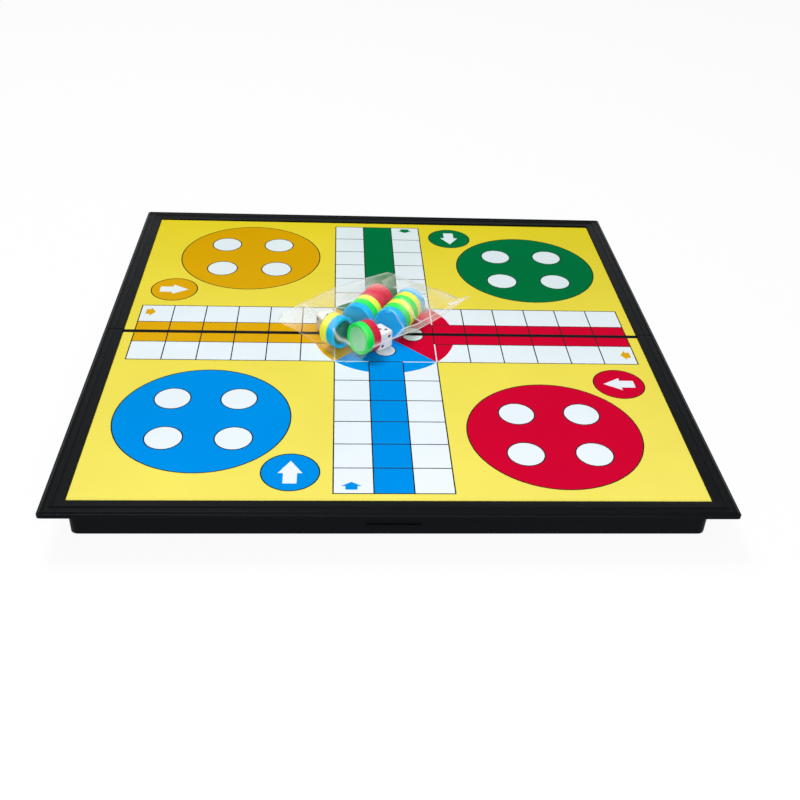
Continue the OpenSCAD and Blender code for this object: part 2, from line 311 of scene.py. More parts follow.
@dataclass(frozen=True)
class FilmFinish:
    """Clear thin film: what lies behind shows through a milky veil, under a sharp gloss.

    Three attributes of the mesh steer it: veil is the share that the milky film covers, which is
    higher where the film is doubled or sealed, in patches of painted reflection and along creased lines with
    painted highlights; white is the share of the veil that is bright, the painted highlights and the seal;
    and shine scales the gloss.

    Attributes:
        name: Name of the material.
        tint: Colour of the milky veil.
        highlight_and_seal: Colour of the painted highlights along creased lines and of the seal.
        gloss: How strongly the film mirrors what it faces.
        rough: Roughness of the gloss.
        crinkle: Size of the fine crinkles in metres.
    """

    name: str
    tint: Colour = srgb(241, 238, 226)
    highlight_and_seal: Colour = srgb(252, 251, 250)
    gloss: float = 0.12
    rough: float = 0.12
    crinkle: float = 0.006

    def material(self) -> bpy.types.Material:
        """Builds the node material: the veil glows through as well as it scatters light back."""
        bench = NodeBench(self.name)
        # Bright shares take a near-white colour: painted highlights along creased lines, a painted glint near
        # the right tip, and the seal.
        colour = bench.tint(bench.attribute("white"), self.tint, self.highlight_and_seal)
        back = bench.add("BsdfDiffuse", {"Color": colour}).outputs["BSDF"]
        through = bench.add("BsdfTranslucent", {"Color": colour}).outputs["BSDF"]
        veil = bench.blend(0.25, back, through)
        crinkled = bench.bump(bench.noise(self.crinkle, 1.0), 0.00012, 0.5)
        inputs = {"Color": WHITE, "Roughness": self.rough, "Normal": crinkled}
        shine = bench.add("BsdfGlossy", inputs).outputs["BSDF"]
        glance = bench.add("LayerWeight", {"Blend": self.gloss, "Normal": crinkled}).outputs["Fresnel"]
        mirror = bench.maths("MULTIPLY", glance, bench.attribute("shine"))
        mottle = bench.spread(bench.noise(0.011, 2.0), 0.85, 1.15)
        patches = bench.maths("MULTIPLY", bench.attribute("veil"), mottle)
        milky = bench.blend(patches, bench.add("BsdfTransparent").outputs["BSDF"], veil)
        return bench.close(bench.blend(mirror, milky, shine))


def new_mesh(
    name: str,
    points: Floats,
    faces: Sequence[Sequence[int]] | Ints,
    materials: Sequence[bpy.types.Material],
    slots: Ints | None = None,
    smooth: bool = False,
) -> bpy.types.Object:
    """Makes a mesh object at the origin, with its place in its mesh.

    Args:
        name: Name of the piece.
        points: Vertex positions in metres, one row each.
        faces: Vertex numbers of each face, counter-clockwise seen from outside.
        materials: Materials in slot order.
        slots: Material slot of each face, or None for the first.
        smooth: Whether faces shade smoothly.

    Returns:
        The linked object.
    """
    mesh = bpy.data.meshes.new(name)
    mesh.from_pydata(points.tolist(), [], [list(map(int, face)) for face in faces])
    for material in materials:
        mesh.materials.append(material)
    if slots is not None:
        mesh.polygons.foreach_set("material_index", np.asarray(slots, np.int32))
    mesh.polygons.foreach_set("use_smooth", np.full(len(mesh.polygons), smooth))
    mesh.update()
    made = bpy.data.objects.new(name, mesh)
    bpy.context.scene.collection.objects.link(made)
    return made


class Ink(IntEnum):
    """The print's inks, in material slot order."""

    YELLOW = 0
    ORANGE = 1
    GREEN = 2
    RED = 3
    BLUE = 4
    WHITE = 5
    BLACK = 6


# Each ink is lighter at the front edge than at the rear: partly ink density, partly painted light.
INK_FINISHES = {
    Ink.YELLOW: InkFinish("ink_yellow", srgb(240, 226, 100), srgb(222, 204, 40)),
    Ink.ORANGE: InkFinish("ink_orange", srgb(226, 172, 24), srgb(206, 156, 4)),
    Ink.GREEN: InkFinish("ink_green", srgb(4, 108, 50), srgb(3, 112, 62)),
    Ink.RED: InkFinish("ink_red", srgb(204, 6, 48), srgb(200, 10, 46)),
    Ink.BLUE: InkFinish("ink_blue", srgb(0, 140, 228), srgb(0, 138, 214)),
    Ink.WHITE: InkFinish("ink_white", srgb(232, 240, 248), srgb(216, 228, 230)),
    Ink.BLACK: InkFinish("ink_black", srgb(34, 34, 32), srgb(34, 34, 32)),
}


@dataclass
class Outline:
    """A closed outline and the ink that fills it.

    Attributes:
        points: Corners in print squares, one row each.
        ink: Ink inside the outline.
        holds: Test of which given points lie inside.
    """

    points: Floats
    ink: Ink
    holds: Callable[[Floats], NDArray[np.bool_]]


def rectangle(x0: float, y0: float, x1: float, y1: float, ink: Ink) -> Outline:
    """Makes a rectangle between two corners."""
    corners = np.array([[x0, y0], [x1, y0], [x1, y1], [x0, y1]])
    return Outline(
        corners,
        ink,
        lambda p: (p[:, 0] > x0) & (p[:, 0] < x1) & (p[:, 1] > y0) & (p[:, 1] < y1),
    )


def disc(x: float, y: float, radius: float, ink: Ink, sides: int = 96) -> Outline:
    """Makes a disc as a polygon on the circle's own radius."""
    turn = np.arange(sides) * 2 * np.pi / sides
    ring = np.stack([x + radius * np.cos(turn), y + radius * np.sin(turn)], axis=1)
    return Outline(ring, ink, lambda p: inside_polygon(ring, p))


def polygon(corners: Sequence[tuple[float, float]] | Floats, ink: Ink) -> Outline:
    """Makes a filled polygon."""
    ring = np.asarray(corners, float)
    return Outline(ring, ink, lambda p: inside_polygon(ring, p))


def inside_polygon(ring: Floats, points: Floats) -> NDArray[np.bool_]:
    """Tests points against a polygon by counting crossings of a ray to the right.

    Args:
        ring: Corners of the polygon.
        points: Points to test.

    Returns:
        True for each point inside.
    """
    x, y = points[:, 0:1], points[:, 1:2]
    x0, y0 = ring[:, 0], ring[:, 1]
    x1, y1 = np.roll(x0, -1), np.roll(y0, -1)
    spans = (y0 > y) != (y1 > y)
    rise = np.where(y1 == y0, 1.0, y1 - y0)
    crossing = x0 + (y - y0) * (x1 - x0) / rise
    return (spans & (x < crossing)).sum(axis=1) % 2 == 1


@dataclass
class LudoPrint:
    """The traditional ludo layout, in print squares from the middle of the board.

    Attributes:
        half_arm: Half the width of the cross.
        arm_end: Distance from the middle to the end of an arm.
        line: Width of a printed line.
        home_r: Radius of a home circle.
        spot_r: Radius of a white spot in a home circle.
        spot_at: Distance of each spot from the home circle's middle, along both axes.
        start_r: Radius of a start circle.
        mark_r: Radius of the white disc in each middle quarter.
        mark_at: Distance of that disc from the middle of the board.
    """

    half_arm: float = 1.5
    arm_end: float = 7.5
    line: float = 0.034
    home_r: float = 2.36
    spot_r: float = 0.51
    spot_at: float = 0.9
    start_r: float = 0.75
    mark_r: float = 0.33
    mark_at: float = 0.87
    homes: dict[Ink, tuple[float, float]] = field(
        default_factory=lambda: {
            Ink.ORANGE: (-4.38, 4.99),
            Ink.GREEN: (4.99, 4.38),
            Ink.RED: (4.38, -4.99),
            Ink.BLUE: (-4.99, -4.38),
        }
    )
    starts: dict[Ink, tuple[float, float]] = field(
        default_factory=lambda: {
            Ink.ORANGE: (-6.67, 2.57),
            Ink.GREEN: (2.57, 6.67),
            Ink.RED: (6.67, -2.57),
            Ink.BLUE: (-2.57, -6.67),
        }
    )
    quarters: dict[Ink, float] = field(
        default_factory=lambda: {Ink.RED: 0.0, Ink.GREEN: 90.0, Ink.ORANGE: 180.0, Ink.BLUE: 270.0}
    )

    def ringed(self, x: float, y: float, radius: float, ink: Ink, sides: int) -> list[Outline]:
        """Makes a disc with a thin black edge."""
        return [
            disc(x, y, radius, Ink.BLACK, sides),
            disc(x, y, radius - self.line, ink, sides),
        ]

    def arrow(self, x: float, y: float, turn: float, length: float, width: float, ink: Ink) -> Outline:
        """Makes a broad arrow that points along a direction.

        Args:
            x: Middle of the arrow.
            y: Middle of the arrow.
            turn: Direction in degrees, from +X.
            length: Length along its direction.
            width: Width of its head.
            ink: Ink of the arrow.

        Returns:
            The filled arrow.
        """
        head = 0.55 * length
        stem = 0.28 * width
        shape = np.array(
            [
                [length / 2, 0],
                [length / 2 - head, width / 2],
                [length / 2 - head, stem],
                [-length / 2, stem],
                [-length / 2, -stem],
                [length / 2 - head, -stem],
                [length / 2 - head, -width / 2],
            ]
        )
        angle = math.radians(turn)
        spin = np.array([[math.cos(angle), math.sin(angle)], [-math.sin(angle), math.cos(angle)]])
        return polygon(shape @ spin + [x, y], ink)

    def arms(self) -> list[Outline]:
        """Makes the white cross, its coloured home columns and the lines of its squares."""
        reach, half = self.arm_end, self.half_arm
        return [
            rectangle(-half, -reach, half, reach, Ink.WHITE),
            rectangle(-reach, -half, reach, half, Ink.WHITE),
            rectangle(-0.5, half, 0.5, reach, Ink.GREEN),
            rectangle(-0.5, -reach, 0.5, -half, Ink.BLUE),
            rectangle(-reach, -0.5, -half, 0.5, Ink.ORANGE),
            rectangle(half, -0.5, reach, 0.5, Ink.RED),
        ]

    def lines(self) -> list[Outline]:
        """Makes the thin black lines between the squares of the four arms."""
        reach, half, thin = self.arm_end, self.half_arm, self.line / 2
        made: list[Outline] = []
        for sign in (-1, 1):
            near, far = sorted((sign * half, sign * (reach + thin)))
            for rail in (-half, -0.5, 0.5, half):
                made.append(rectangle(rail - thin, near, rail + thin, far, Ink.BLACK))
                made.append(rectangle(near, rail - thin, far, rail + thin, Ink.BLACK))
            for step in range(2, 8):
                across = sign * (step + 0.5)
                spans = [(-half, -0.5), (0.5, half)]
                if sign < 0 or step == 7:
                    spans = [(-half, half)]
                for low, high in spans:
                    made.append(rectangle(low, across - thin, high, across + thin, Ink.BLACK))
                made.append(rectangle(across - thin, -half, across + thin, half, Ink.BLACK))
        return made

    def middle(self) -> list[Outline]:
        """Makes the four coloured quarters of the middle."""
        corner_r = self.half_arm * math.sqrt(2)
        made: list[Outline] = []
        for ink, turn in self.quarters.items():
            sweep = np.radians(turn + np.linspace(-45, 45, 25))
            rim = np.stack([corner_r * np.cos(sweep), corner_r * np.sin(sweep)], axis=1)
            made.append(polygon(np.vstack([[0.0, 0.0], rim]), ink))
        return made

    def middle_lines(self) -> list[Outline]:
        """Makes the square of the middle, dark at the home columns, and the quarters' white discs."""
        half, thin = self.half_arm, self.line / 2
        made: list[Outline] = []
        for low, high, ink in (
            (-half, -0.5, Ink.WHITE),
            (-0.5, 0.5, Ink.BLACK),
            (0.5, half, Ink.WHITE),
        ):
            for side in (-half, half):
                made.append(rectangle(low, side - thin, high, side + thin, ink))
                made.append(rectangle(side - thin, low, side + thin, high, ink))
        for turn in self.quarters.values():
            angle = math.radians(turn)
            x, y = self.mark_at * math.cos(angle), self.mark_at * math.sin(angle)
            made += self.ringed(x, y, self.mark_r, Ink.WHITE, 48)
        return made

    def outlines(self) -> list[Outline]:
        """Lists every printed shape, the lowest layer first."""
        made = self.arms() + self.middle() + self.lines() + self.middle_lines()
        for ink, (x, y) in self.homes.items():
            made += self.ringed(x, y, self.home_r, ink, 160)
            for across in (-self.spot_at, self.spot_at):
                for along in (-self.spot_at, self.spot_at):
                    made += self.ringed(x + across, y + along, self.spot_r, Ink.WHITE, 64)
        turns = {Ink.ORANGE: 0.0, Ink.GREEN: 270.0, Ink.RED: 180.0, Ink.BLUE: 90.0}
        for ink, (x, y) in self.starts.items():
            made += self.ringed(x, y, self.start_r, ink, 80)
            made.append(self.arrow(x, y, turns[ink], 0.9, 0.62, Ink.WHITE))
        made += [
            self.arrow(-1.05, -7.2, 90.0, 0.3, 0.53, Ink.BLUE),
            self.arrow(1.0, 7.24, 270.0, 0.3, 0.53, Ink.GREEN),
            self.arrow(-7.19, 1.1, 0.0, 0.3, 0.53, Ink.ORANGE),
            self.arrow(7.22, -1.0, 180.0, 0.3, 0.53, Ink.ORANGE),
        ]
        return made

    def ink_at(self, points: Floats, shapes: Sequence[Outline]) -> Ints:
        """Finds the ink at each point, the last shape that holds it winning.

        Args:
            points: Points in print squares.
            shapes: Shapes, the lowest layer first.

        Returns:
            Ink number of each point.
        """
        inks = np.full(len(points), int(Ink.YELLOW))
        for shape in shapes:
            low, high = shape.points.min(axis=0), shape.points.max(axis=0)
            near = np.flatnonzero(((points >= low) & (points <= high)).all(axis=1))
            inks[near[shape.holds(points[near])]] = int(shape.ink)
        return inks


@dataclass
class PrintedSheet:
    """One half of the print: a thin solid sheet whose top is divided into inked areas.

    Attributes:
        node: CAD node of the sheet, which gives its place and thickness.
        body: CAD body that it moves with.
        layout: The printed layout.
        side: 1 for the rear half, -1 for the front half.
        half_wide: Half the width of the sheet in print squares.
    """

    node: str
    body: str
    layout: LudoPrint
    side: int
    half_wide: float = 7.817

    def build(self, materials: Sequence[bpy.types.Material]) -> bpy.types.Object:
        """Builds the sheet. Its top is a Delaunay division along every printed edge.

        Args:
            materials: One material for each ink, in slot order.

        Returns:
            The sheet, riding on its body in place of its CAD node.
        """
        low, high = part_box(self.node)
        square = (high.x - low.x) / 2 / self.half_wide
        near = low.y if self.side > 0 else high.y
        shapes = self.layout.outlines()
        reach_x, reach_y = high.x / square, (high.y - low.y) / square
        y0, y1 = (0.0, reach_y) if self.side > 0 else (-reach_y, 0.0)
        edge = rectangle(-reach_x, y0, reach_x, y1, Ink.YELLOW)
        flat, triangles = self.divide([edge, *shapes])
        middles = flat[triangles].mean(axis=1)
        kept = edge.holds(middles)
        triangles, middles = triangles[kept], middles[kept]
        inks = self.layout.ink_at(middles, shapes)
        used, triangles = np.unique(triangles, return_inverse=True)
        triangles = triangles.reshape(-1, 3)
        flat = flat[used]
        count = len(flat)
        top = np.column_stack([flat[:, 0] * square, near + flat[:, 1] * square, np.full(count, high.z)])
        bottom = top.copy()
        bottom[:, 2] = low.z
        rim = self.border(triangles)
        walls = np.column_stack([rim[:, 0], rim[:, 0] + count, rim[:, 1] + count, rim[:, 1]])
        faces = [*triangles.tolist(), *(triangles[:, ::-1] + count).tolist(), *walls.tolist()]
        slots = np.concatenate([inks, np.full(len(triangles) + len(walls), int(Ink.WHITE))])
        made = new_mesh(self.node + "_ink", np.vstack([top, bottom]), faces, materials, slots)
        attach(made, self.body)
        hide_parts(self.node)
        return made

    @staticmethod
    def divide(shapes: Sequence[Outline]) -> tuple[Floats, Ints]:
        """Divides the plane into triangles that no outline crosses.

        Args:
            shapes: Outlines whose edges the triangles keep to.

        Returns:
            The points and the triangles, counter-clockwise.
        """
        points: list[Vector] = []
        edges: list[tuple[int, int]] = []
        for shape in shapes:
            start, count = len(points), len(shape.points)
            points += [Vector((float(x), float(y))) for x, y in shape.points]
            edges += [(start + i, start + (i + 1) % count) for i in range(count)]
        found = delaunay_2d_cdt(points, edges, [], 0, 1e-6)
        flat = np.array([tuple(p) for p in found[0]])
        triangles = np.array([tuple(f) for f in found[2]])
        a, b, c = (flat[triangles[:, i]] for i in range(3))
        area = np.cross(b - a, c - a)
        triangles[area < 0] = triangles[area < 0][:, ::-1]
        return flat, triangles[np.abs(area) > 1e-10]

    @staticmethod
    def border(triangles: Ints) -> Ints:
        """Finds the outer edges of a triangulated area, in the direction of its triangles."""
        sides = np.vstack([triangles[:, [0, 1]], triangles[:, [1, 2]], triangles[:, [2, 0]]])
        stride = int(triangles.max()) + 1
        ways = sides[:, 0] * stride + sides[:, 1]
        back = sides[:, 1] * stride + sides[:, 0]
        return sides[~np.isin(ways, back)]


@dataclass
class Studio:
    """Camera, lamps, floor and world.

    The camera was fitted to the board's own corners, print squares and circles: it looks from
    the front, a little from the left, and is rolled slightly.

    Attributes:
        square: Side of one print square in metres.
        lens: Focal length on a 36 mm sensor, in millimetres.
        turn: Direction that the camera looks from, in degrees from the front.
        rise: Height angle of the camera in degrees.
        roll: Roll of the camera in degrees.
        away: Distance from the point looked at, in print squares.
        aim: Point on the printed face that is looked at, in print squares.
        face_z: Height of the printed face in metres.
        floor_reach: Distance of the floor's edges from its middle in metres.
        floor_white: Share of plain white that the floor shows.
        lamps: Name, place, side in metres, power in watts and colour of each soft box.
    """

    square: float = 0.0190866
    lens: float = 45.79
    turn: float = -4.37
    rise: float = 34.43
    roll: float = 2.95
    away: float = 28.128
    aim: tuple[float, float] = (0.320, -3.548)
    face_z: float = 0.021
    floor_reach: float = 3.0
    floor_white: float = 0.92
    lamps: tuple[tuple[str, tuple[float, float, float], float, float, tuple[float, float, float]], ...] = (
        ("key_box", (-0.3, 0.35, 1.15), 0.45, 8.8, (1.0, 0.995, 0.98)),
        ("fill_box", (0.1, -1.0, 0.6), 0.6, 8.4, (0.98, 0.99, 1.0)),
    )

    def camera(self) -> bpy.types.Object:
        """Places the camera at the photograph's viewing angle."""
        turn, rise, roll = (math.radians(a) for a in (self.turn, self.rise, self.roll))
        back = Vector(
            (math.sin(turn) * math.cos(rise), -math.cos(turn) * math.cos(rise), math.sin(rise))
        )
        right = Vector((math.cos(turn), math.sin(turn), 0.0))
        up = back.cross(right)
        across = math.cos(roll) * right + math.sin(roll) * up
        upright = -math.sin(roll) * right + math.cos(roll) * up
        aim = Vector((self.aim[0] * self.square, self.aim[1] * self.square, self.face_z))
        place = aim + back * self.away * self.square
        data = bpy.data.cameras.new("camera")
        data.lens = self.lens
        data.sensor_width = 36.0
        data.clip_start = 0.01
        camera = bpy.data.objects.new("camera", data)
        turned = Matrix((across, upright, back)).transposed().to_4x4()
        camera.matrix_world = Matrix.Translation(place) @ turned
        bpy.context.scene.collection.objects.link(camera)
        bpy.context.scene.camera = camera
        return camera

    def lamp(
        self, name: str, place: Sequence[float], size: float, power: float, tint: Sequence[float]
    ) -> bpy.types.Object:
        """Adds a square soft box that faces the board.

        Args:
            name: Name of the lamp.
            place: Where it stands, in metres.
            size: Side of the box in metres.
            power: Power in watts.
            tint: Colour of the light.

        Returns:
            The lamp.
        """
        data = bpy.data.lights.new(name, "AREA")
        data.shape = "SQUARE"
        data.size = size
        data.energy = power
        data.color = tint
        lamp = bpy.data.objects.new(name, data)
        lamp.location = place
        lamp.rotation_euler = Vector(place).to_track_quat("Z", "Y").to_euler()
        bpy.context.scene.collection.objects.link(lamp)
        return lamp

    def world(self) -> None:
        """Lights the scene from overhead, and shows white behind the floor."""
        bench = NodeBench("studio", world=True)
        sky = bench.add("TexCoord").outputs["Generated"]
        height = bench.add("SeparateXYZ", {"Vector": sky}).outputs["Z"]
        ceiling = bench.ramp(height, (0.78, 0.98), (0.08, 0.9), smooth=True)
        inputs = {"Color": (0.95, 0.98, 1.0, 1.0), "Strength": ceiling}
        ambient = bench.add("Background", inputs).outputs["Background"]
        shown = bench.add("Background", {"Color": WHITE}).outputs["Background"]
        bpy.context.scene.world = bench.close(bench.blend(bench.seen(), ambient, shown))

    def floor(self) -> bpy.types.Object:
        """Lays a plain pale floor that shows almost white and keeps a faint shadow."""
        bench = NodeBench("floor_paper")
        paper = bench.add("BsdfDiffuse", {"Color": (0.9, 0.9, 0.9, 1.0)}).outputs["BSDF"]
        white = bench.add("Emission", {"Color": WHITE}).outputs["Emission"]
        share = bench.maths("MULTIPLY", bench.seen(), self.floor_white)
        reach = self.floor_reach
        corners = np.array(
            [[-reach, -reach, 0], [reach, -reach, 0], [reach, reach, 0], [-reach, reach, 0]]
        )
        floor = new_mesh("floor", corners, [[0, 1, 2, 3]], [bench.close(bench.blend(share, paper, white))])
        return floor

    def build(self) -> None:
        """Sets up the whole studio."""
        self.camera()
        self.world()
        self.floor()
        for settings in self.lamps:
            self.lamp(*settings)
        bpy.context.scene.view_settings.view_transform = "Standard"


@dataclass
class Mouldings:
    """The black trays and latch, and the steel parts, in their CAD shapes."""

    black: PlasticFinish = PlasticFinish(
        "black_moulding", srgb(9, 12, 15), rough=0.32, scuff=0.1, relief=0.00003, mottle=0.15, sheen=0.04
    )
    sheet_steel: MetalFinish = MetalFinish("rolled_sheet", srgb(196, 198, 200), 0.3)
    wire_steel: MetalFinish = MetalFinish("drawn_wire", srgb(180, 180, 182), 0.25)

    def dress(self) -> None:
        """Gives each CAD node its finish."""
        finishes = {
            "front_tray": self.black,
            "rear_tray": self.black,
            "latch_flap": self.black,
            "front_steel_sheet": self.sheet_steel,
            "rear_steel_sheet": self.sheet_steel,
            "hinge_pin_left": self.wire_steel,
            "hinge_pin_right": self.wire_steel,
            "latch_pin": self.wire_steel,
        }
        made = {finish.name: finish.material() for finish in set(finishes.values())}
        for node, finish in finishes.items():
            dress(node, made[finish.name])


def dress(node: str, material: bpy.types.Material) -> None:
    """Puts one material on a CAD node."""
    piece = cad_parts[node]
    for slot in piece.material_slots:
        slot.material = material
    LOG.info("dressed %s with %s", node, material.name)


@dataclass(frozen=True)
class CounterFinish:
    """Bright see-through plastic of the counters, with painted shade and a painted highlight in some of the
    dishes.

    Light that scatters in the plastic makes it glow. Some dishes carry painted light: painted shade in the
    side pair's hollow and on its magnet, and a paler painted highlight on the front pair's dish. A tone fills
    a ball about the middle of its dish.

    Attributes:
        name: Name of the material.
        colour: Linear base colour.
        painted_tones: Middle of each dish that carries painted light, in metres, its radius, and its linear
            colour.
        glow: Share of light that scatters inside the plastic.
        rough: Roughness of a clean surface.
    """

    name: str
    colour: Colour
    painted_tones: tuple[tuple[tuple[float, float, float], float, Colour], ...] = ()
    glow: float = 0.6
    rough: float = 0.24

    def material(self) -> bpy.types.Material:
        """Builds the node material."""
        bench = NodeBench(self.name)
        dark, light = scaled(self.colour, 0.94), scaled(self.colour, 1.06)
        colour = bench.tint(bench.noise(0.012, 3.0), dark, light)
        # Each tone is painted light, shade in a hollow and a paler highlight on a face, blended in about the
        # middle of its dish.
        for middle, radius, tone in self.painted_tones:
            gap = bench.add("VectorMath", {0: bench.place(), 1: middle}, operation="DISTANCE")
            inside = bench.ramp(gap.outputs["Value"], (radius, 0.9 * radius), smooth=True)
            colour = bench.tint(inside, colour, tone)
        shader = bench.add(
            "BsdfPrincipled",
            {
                "Base Color": colour,
                "Roughness": bench.spread(bench.noise(0.004, 4.0), self.rough, self.rough + 0.08),
                "Normal": bench.bump(bench.noise(0.0009), 0.00001, 0.5),
                "Specular IOR Level": 0.12,
                "Subsurface Weight": self.glow,
                "Subsurface Radius": (1.0, 1.0, 1.0),
                "Subsurface Scale": 0.004,
            },
        )
        return bench.close(shader.outputs["BSDF"])


@dataclass
class Counters:
    """The loose counters and their magnets, in their CAD shapes.

    Attributes:
        side_dish: Middle of the hollow that the side pair shows, with painted dark blue-green shade.
        front_dish: Middle of the front pair's dish, with a painted pale green highlight.
        dish_r: Radius of a dish.
    """

    side_dish: tuple[float, float, float] = (-0.02364, -0.01816, 0.03202)
    front_dish: tuple[float, float, float] = (-0.01611, -0.02450, 0.03192)
    dish_r: float = 0.0075

    def dress(self) -> None:
        """Gives each colour of counter its plastic, and the magnets their dark ferrite, with painted shade in
        the side pair's hollow and a painted highlight on the front pair's dish.
        """
        # Painted light: dark blue-green shade in the side pair's hollow, on the blue plastic and the magnet
        # there, and a pale green highlight on the front pair's dish face.
        hollow_shade, dish_highlight = srgb(4, 110, 100), srgb(150, 250, 176)
        side = (self.side_dish, self.dish_r)
        plastics = {
            "counters_red": CounterFinish("counter_red", srgb(214, 3, 62)),
            "counters_yellow": CounterFinish("counter_yellow", srgb(252, 250, 70)),
            "counters_green": CounterFinish(
                "counter_green", srgb(4, 236, 84), ((self.front_dish, self.dish_r, dish_highlight),)
            ),
            "counters_blue": CounterFinish("counter_blue", srgb(0, 184, 255), ((*side, hollow_shade),)),
            "counter_magnets": CounterFinish(
                "magnet_ferrite", srgb(58, 54, 50), ((*side, hollow_shade),), 0.0, 0.5
            ),
        }
        for node, finish in plastics.items():
            dress(node, finish.material())


@dataclass
class Dice:
    """Two dice with rounded corners and round sunk pips, in place of the CAD dice.

    Attributes:
        size: Edge length in metres.
        power: How square a die is: 2 is a ball, and large numbers are a cube.
        cells: Grid cells along an edge.
        pip_r: Radius of a pip.
        pip_depth: Depth of a pip.
        spread: Distance of an outer pip from the middle of its face.
        floor_z: Height that the dice lie on in metres.
        lift: Play between a die and what it lies on in metres.
        places: Middle of each die, its turn in degrees, its pip colour, and the pips on its faces
            +Z, +X, +Y, -Z, -X and -Y.
    """

    size: float = 0.011
    power: float = 9.0
    cells: int = 72
    pip_r: float = 0.00095
    pip_depth: float = 0.0004
    spread: float = 0.0024
    floor_z: float = 0.0219
    lift: float = 0.0001
    places: tuple[tuple[float, float, float, str, tuple[int, ...]], ...] = (
        (-0.0325, 0.001, 25.0, "blue", (1, 5, 4, 6, 2, 3)),
        (-0.0033, -0.0147, -50.0, "black", (3, 2, 6, 4, 5, 1)),
    )

    def spots(self, count: int) -> Floats:
        """Gives the pip places of a face, in steps of the spread."""
        corners = [(-1, -1), (1, 1), (-1, 1), (1, -1)]
        rows = {
            1: [(0, 0)],
            2: corners[:2],
            3: [*corners[:2], (0, 0)],
            4: corners,
            5: [*corners, (0, 0)],
            6: [*corners, (-1, 0), (1, 0)],
        }
        return np.array(rows[count], float) * self.spread

    def one(self, middle: Floats, turn: float, counts: Sequence[int]) -> tuple[Floats, Ints, Ints]:
        """Builds one die: each face is a grid pushed out onto a rounded cube, with dents for pips.

        The surface is where the sum of |x|, |y| and |z|, each to the set power, is one.

        Args:
            middle: Middle of the die in metres.
            turn: Turn about the upright in degrees.
            counts: Pips on each face.

        Returns:
            Points, quads and a 1 for each quad that lies in a pip.
        """
        step = np.linspace(-1, 1, self.cells + 1)
        u, v = np.meshgrid(step, step, indexing="ij")
        flat = np.stack([u, v, np.ones_like(u)], axis=-1)
        scale = (np.abs(flat) ** self.power).sum(axis=-1) ** (-1 / self.power)
        half = self.size / 2
        sheet = flat * scale[..., None] * half
        axes = [(0, 1, 2, 1), (1, 2, 0, 1), (2, 0, 1, 1), (1, 0, 2, -1), (2, 1, 0, -1), (0, 2, 1, -1)]
        n = self.cells + 1
        corner = (np.arange(self.cells)[:, None] * n + np.arange(self.cells)[None, :]).ravel()
        quads = np.stack([corner, corner + n, corner + n + 1, corner + 1], axis=1)
        points, faces, marks = [], [], []
        for (a, b, c, sign), count in zip(axes, counts):
            face = sheet.reshape(-1, 3).copy()
            dent = np.zeros(len(face))
            for spot in self.spots(count):
                gap = np.hypot(face[:, 0] - spot[0], face[:, 1] - spot[1]) / self.pip_r
                dent = np.maximum(dent, np.sqrt(np.clip(1 - gap**2, 0, 1)))
            face[:, 2] -= dent * self.pip_depth
            turned = np.empty_like(face)
            turned[:, a], turned[:, b], turned[:, c] = face[:, 0], face[:, 1], sign * face[:, 2]
            faces.append(quads + len(points) * n * n)
            marks.append((dent[quads].mean(axis=1) > 0.2).astype(int))
            points.append(turned)
        angle = math.radians(turn)
        spin = np.array(
            [[math.cos(angle), -math.sin(angle), 0], [math.sin(angle), math.cos(angle), 0], [0, 0, 1]]
        )
        return np.vstack(points) @ spin.T + middle, np.vstack(faces), np.concatenate(marks)

    def build(self) -> bpy.types.Object:
        """Builds both dice as one piece, in place of the CAD dice."""
        white = PlasticFinish("die_white", srgb(240, 240, 238), rough=0.16, relief=0.000005).material()
        blue = PlasticFinish("pip_blue", srgb(34, 30, 140), rough=0.3).material()
        black = PlasticFinish("pip_black", srgb(20, 20, 22), rough=0.3).material()
        points, faces, slots, start = [], [], [], 0
        for x, y, turn, colour, counts in self.places:
            middle = np.array([x, y, self.floor_z + self.size / 2 + self.lift])
            p, f, marks = self.one(middle, turn, counts)
            points.append(p)
            faces.append(f + start)
            slots.append(marks * (1 if colour == "blue" else 2))
            start += len(p)
        finishes, slot = [white, blue, black], np.concatenate(slots)
        made = new_mesh("rounded_dice", np.vstack(points), np.vstack(faces), finishes, slot, True)
        merge(made, 1e-7)
        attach(made, "pieces")
        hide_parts("dice")
        return made


